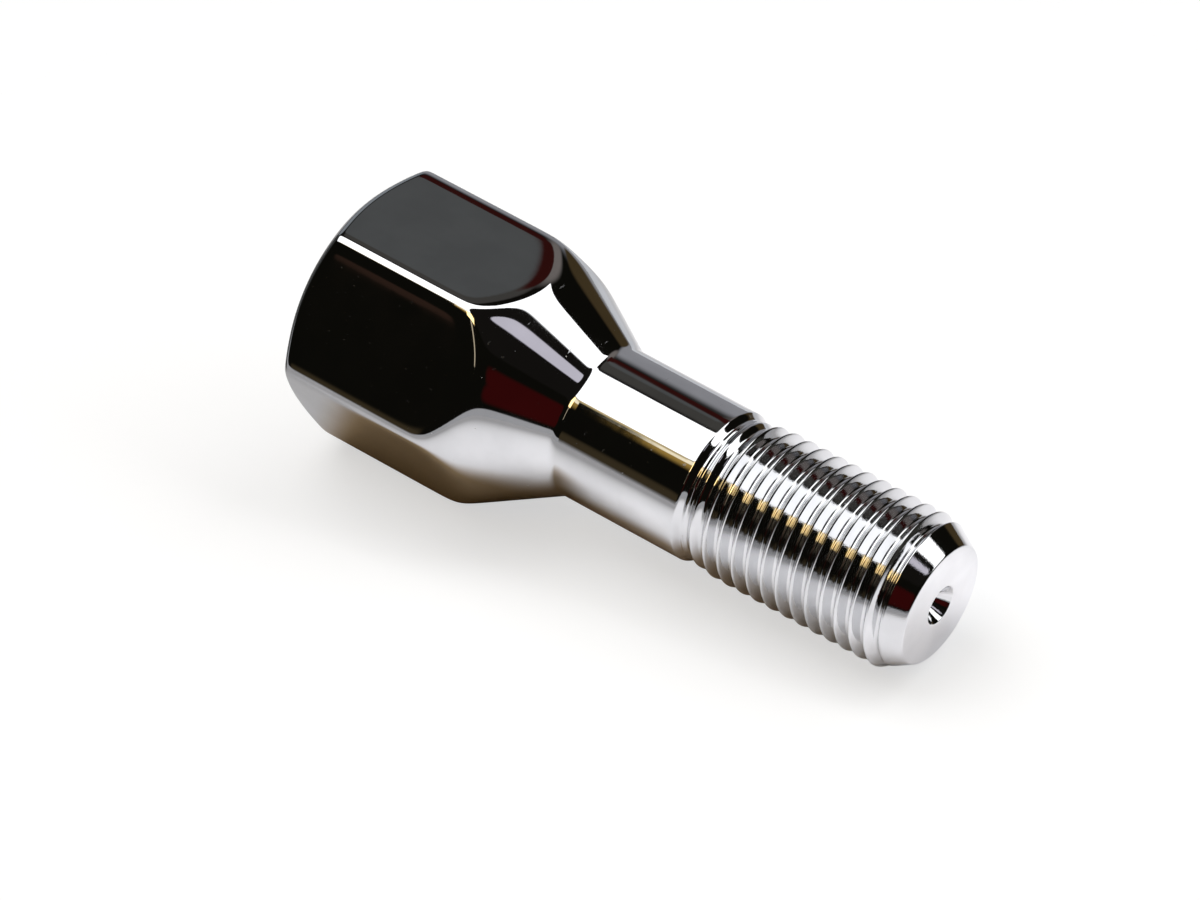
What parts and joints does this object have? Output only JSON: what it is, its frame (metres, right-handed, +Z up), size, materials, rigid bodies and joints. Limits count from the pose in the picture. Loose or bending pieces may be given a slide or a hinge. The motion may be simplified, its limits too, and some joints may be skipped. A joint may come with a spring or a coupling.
{
  "type": "wheel bolt",
  "caption": "Chrome wheel bolt with a rounded hexagon head, a cone seat, a plain shank and a threaded end with a chamfered tip, lying on its side.",
  "frame": {"origin": "on the surface the bolt lies on, under the middle of its bounding box", "axes": "+X from the head towards the tip, +Y across, +Z up; the bolt's own axis dips towards the tip by its rest angle of 5.7 degrees"},
  "size_m": [0.0622, 0.025, 0.0236],
  "materials": {
    "chrome_plate": "bright chrome plate over turned steel"
  },
  "bodies": {
    "root": {"wheel_bolt": "chrome_plate"}
  },
  "joints": []
}
